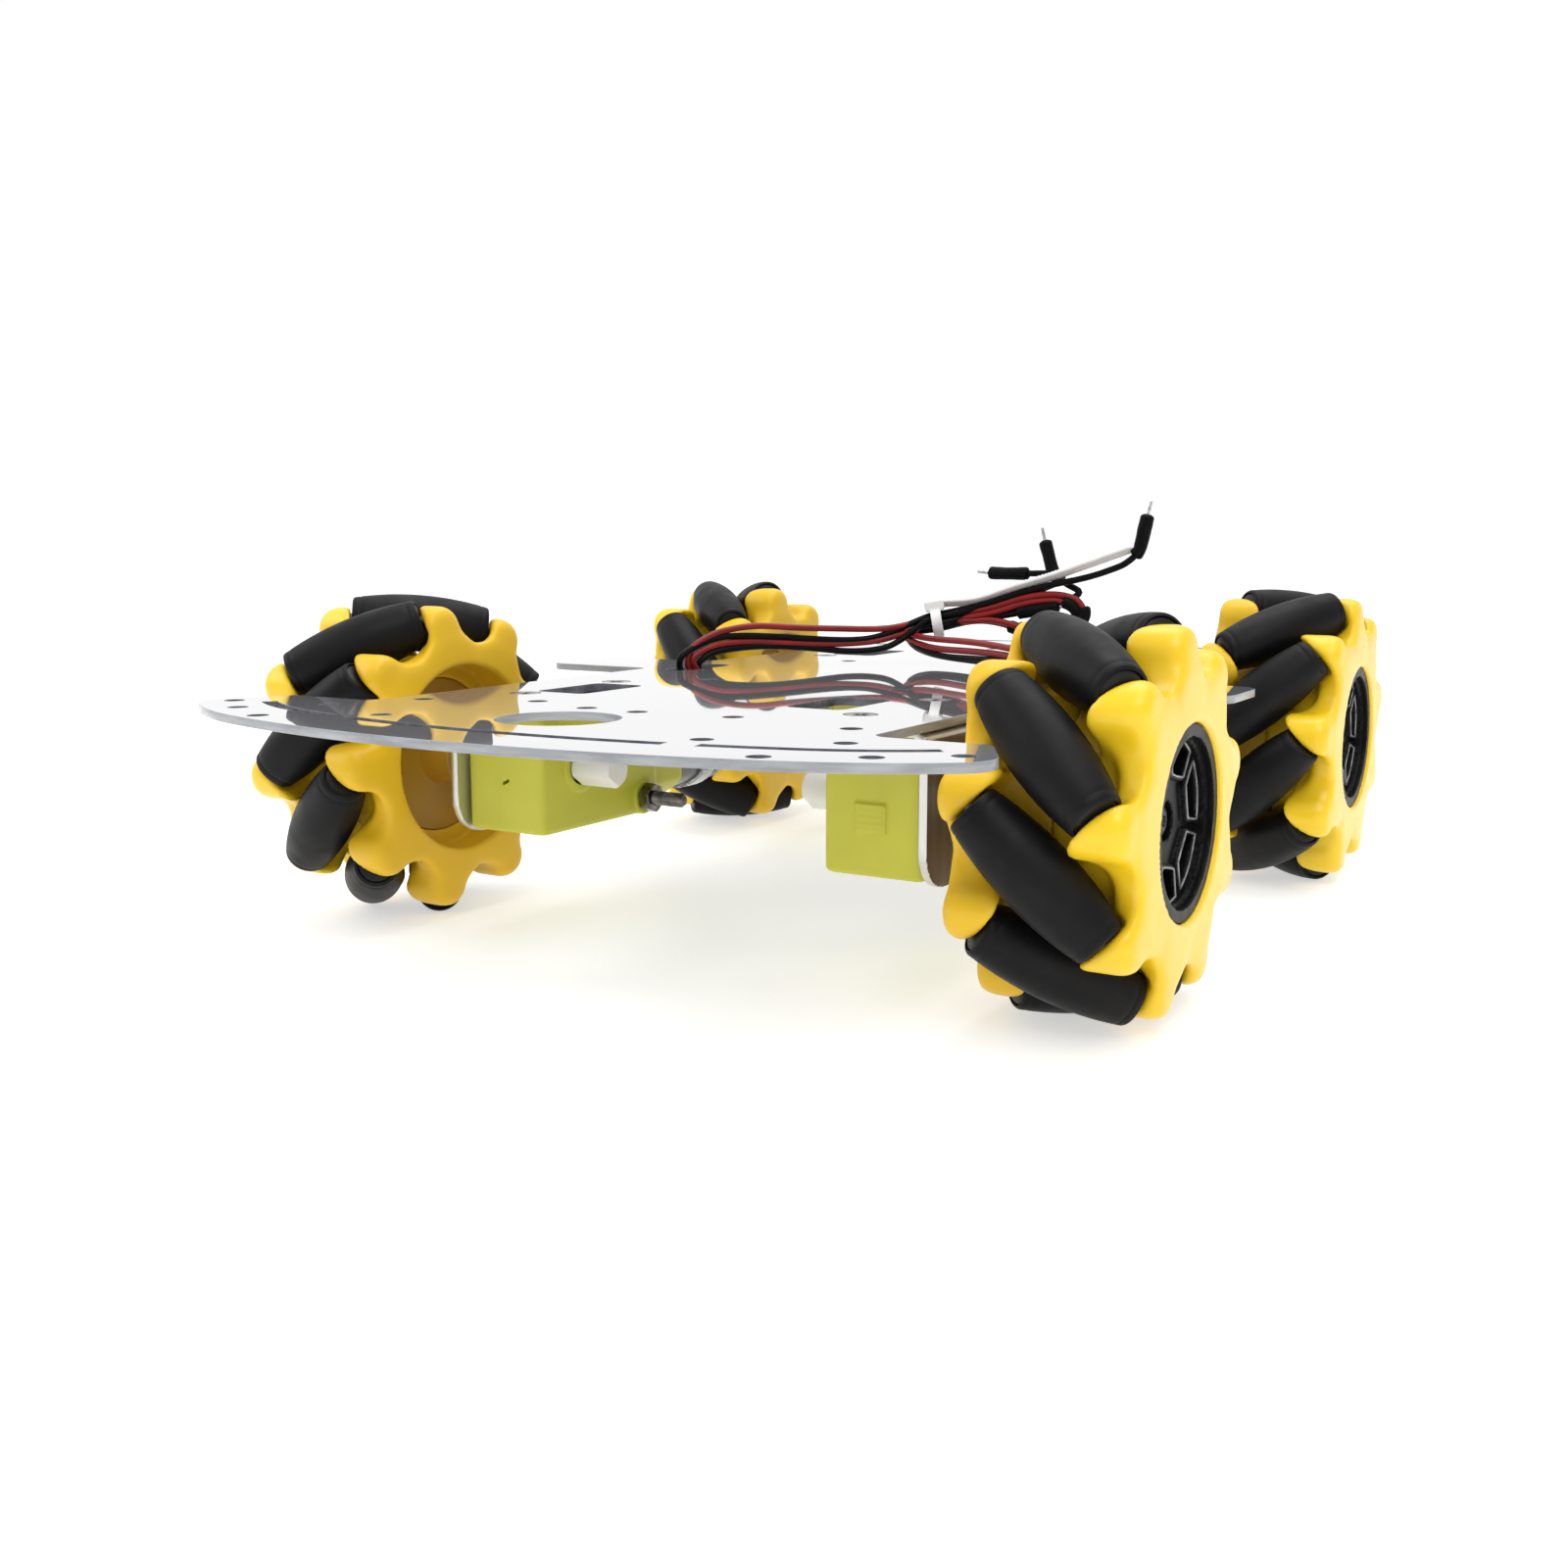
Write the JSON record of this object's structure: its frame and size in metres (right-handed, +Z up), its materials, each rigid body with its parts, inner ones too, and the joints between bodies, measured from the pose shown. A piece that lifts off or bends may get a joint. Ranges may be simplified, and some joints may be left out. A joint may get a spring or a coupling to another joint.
{
  "type": "mecanum wheel robot",
  "caption": "Four-wheel omnidirectional robot chassis: slotted clear deck, geared motors on bent brackets, mecanum wheels with free 45 degree rollers, tied motor leads.",
  "frame": {"origin": "on the floor under the middle of the deck", "axes": "+X towards the robot's left, +Y towards its rear, +Z up"},
  "size_m": [0.1792, 0.2678, 0.085],
  "materials": {
    "clear_acrylic": "clear polished sheet with glossy sawn edges",
    "wheel_plastic": "satin moulded yellow plastic",
    "roller_rubber": "matte black rubber",
    "hub_plastic": "glossy moulded black plastic",
    "gearbox_plastic": "slightly translucent yellow-green moulded plastic",
    "motor_metal": "plated drawn steel can",
    "bracket_metal": "bent sheet, brushed",
    "lead_insulation": "thin PVC insulation, red and black",
    "tie_nylon": "milky natural nylon"
  },
  "bodies": {
    "root": {"deck_plate": "clear_acrylic", "front_left_bracket": "bracket_metal", "front_left_gearbox": "gearbox_plastic", "front_left_motor": "motor_metal", "front_right_bracket": "bracket_metal", "front_right_gearbox": "gearbox_plastic", "front_right_motor": "motor_metal", "rear_left_bracket": "bracket_metal", "rear_left_gearbox": "gearbox_plastic", "rear_left_motor": "motor_metal", "rear_right_bracket": "bracket_metal", "rear_right_gearbox": "gearbox_plastic", "rear_right_motor": "motor_metal", "left_motor_leads": "lead_insulation", "right_motor_leads": "lead_insulation", "cable_tie": "tie_nylon"},
    "front_left_wheel": {"front_left_wheel_frame": "wheel_plastic", "front_left_wheel_hub": "hub_plastic"},
    "front_left_roller_1": {"front_left_roller_1": "roller_rubber"},
    "front_left_roller_2": {"front_left_roller_2": "roller_rubber"},
    "front_left_roller_3": {"front_left_roller_3": "roller_rubber"},
    "front_left_roller_4": {"front_left_roller_4": "roller_rubber"},
    "front_left_roller_5": {"front_left_roller_5": "roller_rubber"},
    "front_left_roller_6": {"front_left_roller_6": "roller_rubber"},
    "front_left_roller_7": {"front_left_roller_7": "roller_rubber"},
    "front_left_roller_8": {"front_left_roller_8": "roller_rubber"},
    "front_left_roller_9": {"front_left_roller_9": "roller_rubber"},
    "front_right_wheel": {"front_right_wheel_frame": "wheel_plastic", "front_right_wheel_hub": "hub_plastic"},
    "front_right_roller_1": {"front_right_roller_1": "roller_rubber"},
    "front_right_roller_2": {"front_right_roller_2": "roller_rubber"},
    "front_right_roller_3": {"front_right_roller_3": "roller_rubber"},
    "front_right_roller_4": {"front_right_roller_4": "roller_rubber"},
    "front_right_roller_5": {"front_right_roller_5": "roller_rubber"},
    "front_right_roller_6": {"front_right_roller_6": "roller_rubber"},
    "front_right_roller_7": {"front_right_roller_7": "roller_rubber"},
    "front_right_roller_8": {"front_right_roller_8": "roller_rubber"},
    "front_right_roller_9": {"front_right_roller_9": "roller_rubber"},
    "rear_left_wheel": {"rear_left_wheel_frame": "wheel_plastic", "rear_left_wheel_hub": "hub_plastic"},
    "rear_left_roller_1": {"rear_left_roller_1": "roller_rubber"},
    "rear_left_roller_2": {"rear_left_roller_2": "roller_rubber"},
    "rear_left_roller_3": {"rear_left_roller_3": "roller_rubber"},
    "rear_left_roller_4": {"rear_left_roller_4": "roller_rubber"},
    "rear_left_roller_5": {"rear_left_roller_5": "roller_rubber"},
    "rear_left_roller_6": {"rear_left_roller_6": "roller_rubber"},
    "rear_left_roller_7": {"rear_left_roller_7": "roller_rubber"},
    "rear_left_roller_8": {"rear_left_roller_8": "roller_rubber"},
    "rear_left_roller_9": {"rear_left_roller_9": "roller_rubber"},
    "rear_right_wheel": {"rear_right_wheel_frame": "wheel_plastic", "rear_right_wheel_hub": "hub_plastic"},
    "rear_right_roller_1": {"rear_right_roller_1": "roller_rubber"},
    "rear_right_roller_2": {"rear_right_roller_2": "roller_rubber"},
    "rear_right_roller_3": {"rear_right_roller_3": "roller_rubber"},
    "rear_right_roller_4": {"rear_right_roller_4": "roller_rubber"},
    "rear_right_roller_5": {"rear_right_roller_5": "roller_rubber"},
    "rear_right_roller_6": {"rear_right_roller_6": "roller_rubber"},
    "rear_right_roller_7": {"rear_right_roller_7": "roller_rubber"},
    "rear_right_roller_8": {"rear_right_roller_8": "roller_rubber"},
    "rear_right_roller_9": {"rear_right_roller_9": "roller_rubber"}
  },
  "joints": [
    {"name": "front_left_wheel_spin", "type": "hinge", "parent": "root", "child": "front_left_wheel", "pos_m": [0.0743, -0.0629, 0.0325], "axis": [1, 0, 0], "continuous": true},
    {"name": "front_left_roller_1_spin", "type": "hinge", "parent": "front_left_wheel", "child": "front_left_roller_1", "pos_m": [0.0743, -0.08613, 0.04546], "axis": [0.7071, -0.3444, -0.6175], "continuous": true},
    {"name": "front_left_roller_2_spin", "type": "hinge", "parent": "front_left_wheel", "child": "front_left_roller_2", "pos_m": [0.0743, -0.07237, 0.05736], "axis": [0.7071, -0.6608, -0.2517], "continuous": true},
    {"name": "front_left_roller_3_spin", "type": "hinge", "parent": "front_left_wheel", "child": "front_left_roller_3", "pos_m": [0.0743, -0.05417, 0.05763], "axis": [0.7071, -0.668, 0.232], "continuous": true},
    {"name": "front_left_roller_4_spin", "type": "hinge", "parent": "front_left_wheel", "child": "front_left_roller_4", "pos_m": [0.0743, -0.04006, 0.04614], "axis": [0.7071, -0.3626, 0.6071], "continuous": true},
    {"name": "front_left_roller_5_spin", "type": "hinge", "parent": "front_left_wheel", "child": "front_left_roller_5", "pos_m": [0.0743, -0.03664, 0.02827], "axis": [0.7071, 0.1124, 0.6981], "continuous": true},
    {"name": "front_left_roller_6_spin", "type": "hinge", "parent": "front_left_wheel", "child": "front_left_roller_6", "pos_m": [0.0743, -0.0455, 0.01238], "axis": [0.7071, 0.5349, 0.4625], "continuous": true},
    {"name": "front_left_roller_7_spin", "type": "hinge", "parent": "front_left_wheel", "child": "front_left_roller_7", "pos_m": [0.0743, -0.06251, 0.0059], "axis": [0.7071, 0.707, 0.0105], "continuous": true},
    {"name": "front_left_roller_8_spin", "type": "hinge", "parent": "front_left_wheel", "child": "front_left_roller_8", "pos_m": [0.0743, -0.07969, 0.01187], "axis": [0.7071, 0.5484, -0.4464], "continuous": true},
    {"name": "front_left_roller_9_spin", "type": "hinge", "parent": "front_left_wheel", "child": "front_left_roller_9", "pos_m": [0.0743, -0.08902, 0.02749], "axis": [0.7071, 0.1331, -0.6945], "continuous": true},
    {"name": "front_right_wheel_spin", "type": "hinge", "parent": "root", "child": "front_right_wheel", "pos_m": [-0.0743, -0.0629, 0.0325], "axis": [1, 0, 0], "continuous": true},
    {"name": "front_right_roller_1_spin", "type": "hinge", "parent": "front_right_wheel", "child": "front_right_roller_1", "pos_m": [-0.0743, -0.08828, 0.04048], "axis": [-0.7071, -0.212, -0.6746], "continuous": true},
    {"name": "front_right_roller_2_spin", "type": "hinge", "parent": "front_right_wheel", "child": "front_right_roller_2", "pos_m": [-0.0743, -0.07721, 0.05492], "axis": [-0.7071, -0.596, -0.3804], "continuous": true},
    {"name": "front_right_roller_3_spin", "type": "hinge", "parent": "front_right_wheel", "child": "front_right_roller_3", "pos_m": [-0.0743, -0.05945, 0.05888], "axis": [-0.7071, -0.7011, 0.0917], "continuous": true},
    {"name": "front_right_roller_4_spin", "type": "hinge", "parent": "front_right_wheel", "child": "front_right_roller_4", "pos_m": [-0.0743, -0.0433, 0.05049], "axis": [-0.7071, -0.4782, 0.5209], "continuous": true},
    {"name": "front_right_roller_5_spin", "type": "hinge", "parent": "front_right_wheel", "child": "front_right_roller_5", "pos_m": [-0.0743, -0.03633, 0.03368], "axis": [-0.7071, -0.0315, 0.7064], "continuous": true},
    {"name": "front_right_roller_6_spin", "type": "hinge", "parent": "front_right_wheel", "child": "front_right_roller_6", "pos_m": [-0.0743, -0.04178, 0.01633], "axis": [-0.7071, 0.43, 0.5614], "continuous": true},
    {"name": "front_right_roller_7_spin", "type": "hinge", "parent": "front_right_wheel", "child": "front_right_roller_7", "pos_m": [-0.0743, -0.05712, 0.00654], "axis": [-0.7071, 0.6902, 0.1536], "continuous": true},
    {"name": "front_right_roller_8_spin", "type": "hinge", "parent": "front_right_wheel", "child": "front_right_roller_8", "pos_m": [-0.0743, -0.07516, 0.00889], "axis": [-0.7071, 0.6275, -0.326], "continuous": true},
    {"name": "front_right_roller_9_spin", "type": "hinge", "parent": "front_right_wheel", "child": "front_right_roller_9", "pos_m": [-0.0743, -0.08747, 0.0223], "axis": [-0.7071, 0.2712, -0.653], "continuous": true},
    {"name": "rear_left_wheel_spin", "type": "hinge", "parent": "root", "child": "rear_left_wheel", "pos_m": [0.0743, 0.0629, 0.0325], "axis": [1, 0, 0], "continuous": true},
    {"name": "rear_left_roller_1_spin", "type": "hinge", "parent": "rear_left_wheel", "child": "rear_left_roller_1", "pos_m": [0.0743, 0.03837, 0.04278], "axis": [0.7071, 0.2733, 0.6521], "continuous": true},
    {"name": "rear_left_roller_2_spin", "type": "hinge", "parent": "rear_left_wheel", "child": "rear_left_roller_2", "pos_m": [0.0743, 0.05072, 0.05615], "axis": [0.7071, 0.6286, 0.3239], "continuous": true},
    {"name": "rear_left_roller_3_spin", "type": "hinge", "parent": "rear_left_wheel", "child": "rear_left_roller_3", "pos_m": [0.0743, 0.06877, 0.05845], "axis": [0.7071, 0.6897, -0.1559], "continuous": true},
    {"name": "rear_left_roller_4_spin", "type": "hinge", "parent": "rear_left_wheel", "child": "rear_left_roller_4", "pos_m": [0.0743, 0.08407, 0.0486], "axis": [0.7071, 0.4281, -0.5628], "continuous": true},
    {"name": "rear_left_roller_5_spin", "type": "hinge", "parent": "rear_left_wheel", "child": "rear_left_roller_5", "pos_m": [0.0743, 0.08947, 0.03123], "axis": [0.7071, -0.0338, -0.7063], "continuous": true},
    {"name": "rear_left_roller_6_spin", "type": "hinge", "parent": "rear_left_wheel", "child": "rear_left_roller_6", "pos_m": [0.0743, 0.08244, 0.01445], "axis": [0.7071, -0.4799, -0.5193], "continuous": true},
    {"name": "rear_left_roller_7_spin", "type": "hinge", "parent": "rear_left_wheel", "child": "rear_left_roller_7", "pos_m": [0.0743, 0.06626, 0.00611], "axis": [0.7071, -0.7014, -0.0894], "continuous": true},
    {"name": "rear_left_roller_8_spin", "type": "hinge", "parent": "rear_left_wheel", "child": "rear_left_roller_8", "pos_m": [0.0743, 0.04851, 0.01013], "axis": [0.7071, -0.5948, 0.3824], "continuous": true},
    {"name": "rear_left_roller_9_spin", "type": "hinge", "parent": "rear_left_wheel", "child": "rear_left_roller_9", "pos_m": [0.0743, 0.0375, 0.02461], "axis": [0.7071, -0.2098, 0.6753], "continuous": true},
    {"name": "rear_right_wheel_spin", "type": "hinge", "parent": "root", "child": "rear_right_wheel", "pos_m": [-0.0743, 0.0629, 0.0325], "axis": [1, 0, 0], "continuous": true},
    {"name": "rear_right_roller_1_spin", "type": "hinge", "parent": "rear_right_wheel", "child": "rear_right_roller_1", "pos_m": [-0.0743, 0.03967, 0.04546], "axis": [-0.7071, 0.3444, 0.6175], "continuous": true},
    {"name": "rear_right_roller_2_spin", "type": "hinge", "parent": "rear_right_wheel", "child": "rear_right_roller_2", "pos_m": [-0.0743, 0.05343, 0.05736], "axis": [-0.7071, 0.6608, 0.2517], "continuous": true},
    {"name": "rear_right_roller_3_spin", "type": "hinge", "parent": "rear_right_wheel", "child": "rear_right_roller_3", "pos_m": [-0.0743, 0.07163, 0.05763], "axis": [-0.7071, 0.668, -0.232], "continuous": true},
    {"name": "rear_right_roller_4_spin", "type": "hinge", "parent": "rear_right_wheel", "child": "rear_right_roller_4", "pos_m": [-0.0743, 0.08574, 0.04614], "axis": [-0.7071, 0.3626, -0.6071], "continuous": true},
    {"name": "rear_right_roller_5_spin", "type": "hinge", "parent": "rear_right_wheel", "child": "rear_right_roller_5", "pos_m": [-0.0743, 0.08916, 0.02827], "axis": [-0.7071, -0.1124, -0.6981], "continuous": true},
    {"name": "rear_right_roller_6_spin", "type": "hinge", "parent": "rear_right_wheel", "child": "rear_right_roller_6", "pos_m": [-0.0743, 0.0803, 0.01238], "axis": [-0.7071, -0.5349, -0.4625], "continuous": true},
    {"name": "rear_right_roller_7_spin", "type": "hinge", "parent": "rear_right_wheel", "child": "rear_right_roller_7", "pos_m": [-0.0743, 0.06329, 0.0059], "axis": [-0.7071, -0.707, -0.0105], "continuous": true},
    {"name": "rear_right_roller_8_spin", "type": "hinge", "parent": "rear_right_wheel", "child": "rear_right_roller_8", "pos_m": [-0.0743, 0.04611, 0.01187], "axis": [-0.7071, -0.5484, 0.4464], "continuous": true},
    {"name": "rear_right_roller_9_spin", "type": "hinge", "parent": "rear_right_wheel", "child": "rear_right_roller_9", "pos_m": [-0.0743, 0.03678, 0.02749], "axis": [-0.7071, -0.1331, 0.6945], "continuous": true}
  ]
}
